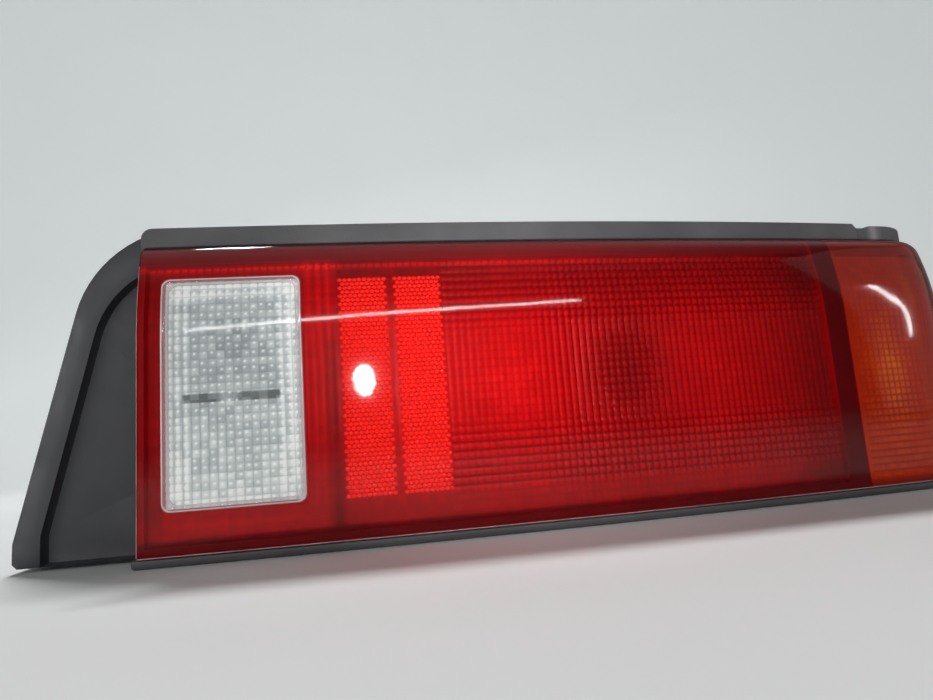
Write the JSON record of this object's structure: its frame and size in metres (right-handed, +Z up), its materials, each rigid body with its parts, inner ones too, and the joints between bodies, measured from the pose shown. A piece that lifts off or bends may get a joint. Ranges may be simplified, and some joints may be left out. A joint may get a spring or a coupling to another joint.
{
  "type": "tail light cluster",
  "caption": "Wrap-around rear lamp cluster of a car: red, amber and clear moulded lenses on a dark housing with bulbs, holders, seals, studs and an end filler.",
  "frame": {"origin": "centre of the stud pattern, on the rear plane of the foam gasket that meets the body panel", "axes": "+X outboard towards the wrap-around corner, +Y forward into the car along the studs, +Z up as on the car"},
  "size_m": [0.4851, 0.1288, 0.1462],
  "materials": {
    "red_lens": "clear red acrylic, polished outside, prism rows inside",
    "amber_lens": "clear amber acrylic, polished outside, flutes inside",
    "clear_lens": "clear acrylic with prisms inside and a raised frame",
    "reflex_red": "bright red reflex acrylic with corner cubes",
    "seal_rubber": "dark grey rubber, dull, lightly scuffed",
    "bond_bead": "black bonding bead",
    "housing_plastic": "black moulded plastic, fine grain",
    "mirror_coat": "bright vacuum coating",
    "bulb_glass": "clear blown glass",
    "bulb_brass": "bright brass cap",
    "holder_plastic": "dark grey moulded plastic",
    "ring_rubber": "black rubber",
    "terminal_brass": "stamped brass",
    "foam": "closed-cell foam, dark grey",
    "plated_steel": "plated steel",
    "filler_plastic": "dark grey moulded plastic, satin, scuffed along its edge"
  },
  "bodies": {
    "root": {"lens_red": "red_lens", "lens_amber": "amber_lens", "reverse_window": "clear_lens", "reflex_panel_inboard": "reflex_red", "reflex_panel_outboard": "reflex_red", "rim_seal": "seal_rubber", "corner_seal": "seal_rubber", "lens_bond": "bond_bead", "housing": "housing_plastic", "reverse_reflector": "mirror_coat", "stop_reflector": "mirror_coat", "turn_reflector": "mirror_coat", "reverse_bulb_glass": "bulb_glass", "stop_bulb_glass": "bulb_glass", "turn_bulb_glass": "bulb_glass", "reverse_bulb_cap": "bulb_brass", "stop_bulb_cap": "bulb_brass", "turn_bulb_cap": "bulb_brass", "reverse_bulb_holder": "holder_plastic", "stop_bulb_holder": "holder_plastic", "turn_bulb_holder": "holder_plastic", "reverse_holder_seal": "ring_rubber", "stop_holder_seal": "ring_rubber", "turn_holder_seal": "ring_rubber", "reverse_terminals": "terminal_brass", "stop_terminals": "terminal_brass", "turn_terminals": "terminal_brass", "mounting_gasket": "foam", "mounting_studs": "plated_steel", "vent_cap": "ring_rubber", "end_filler": "filler_plastic", "filler_screws": "plated_steel"}
  },
  "joints": []
}
